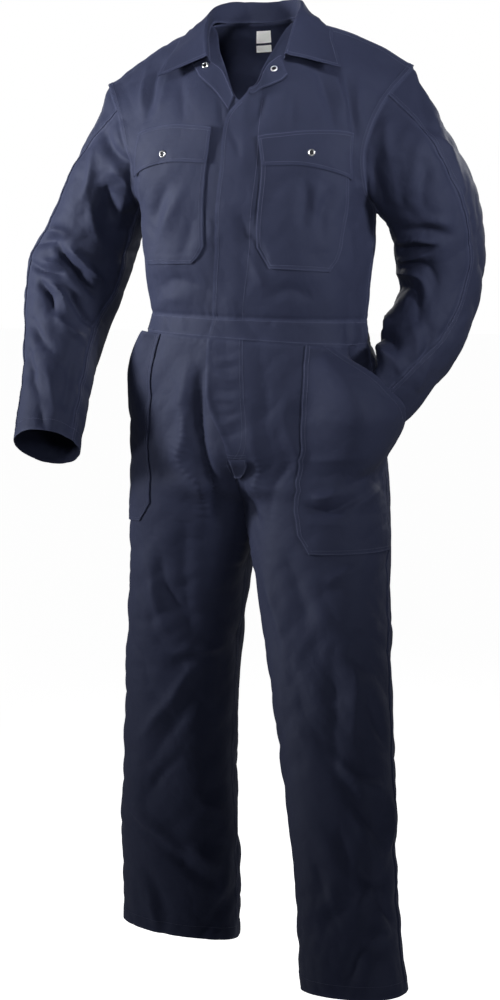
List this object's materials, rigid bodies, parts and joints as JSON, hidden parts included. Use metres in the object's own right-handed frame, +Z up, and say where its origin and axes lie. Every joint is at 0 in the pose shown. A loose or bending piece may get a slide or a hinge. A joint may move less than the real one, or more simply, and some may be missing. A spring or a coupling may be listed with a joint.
{
  "type": "boiler suit",
  "caption": "One-piece boiler suit of plain woven cloth, worn: open turned-down collar, covered front closing, flapped chest pockets, big hip pockets, one cuff resting in a pocket.",
  "frame": {"origin": "middle of the neck opening at the height of the collar seam, where the wearer's shoulders carry the suit", "axes": "+Z up, -Y towards the wearer's front, +X towards the wearer's left hand"},
  "size_m": [0.7563, 0.5037, 1.5566],
  "materials": {
    "cloth": "matt woven twill, dark grey-blue",
    "label": "plain white woven tape, bare",
    "stud": "pressed nickel-plated snap cap"
  },
  "bodies": {
    "root": {"front_left": "cloth", "front_right": "cloth", "back": "cloth", "waistband_left": "cloth", "waistband_right": "cloth", "waistband_back": "cloth", "trouser_front_left": "cloth", "trouser_front_right": "cloth", "trouser_back_left": "cloth", "trouser_back_right": "cloth", "sleeve_front_left": "cloth", "sleeve_front_right": "cloth", "sleeve_back_left": "cloth", "sleeve_back_right": "cloth", "collar": "cloth", "lapel_left": "cloth", "lapel_right": "cloth", "chest_pocket_left": "cloth", "chest_pocket_right": "cloth", "chest_flap_left": "cloth", "chest_flap_right": "cloth", "hip_pocket_left": "cloth", "hip_pocket_right": "cloth", "fly_tongue": "cloth", "label_upper": "label", "label_lower": "label", "stud_pocket_left": "stud", "stud_pocket_right": "stud", "stud_neck_left": "stud", "stud_neck_right": "stud"}
  },
  "joints": []
}
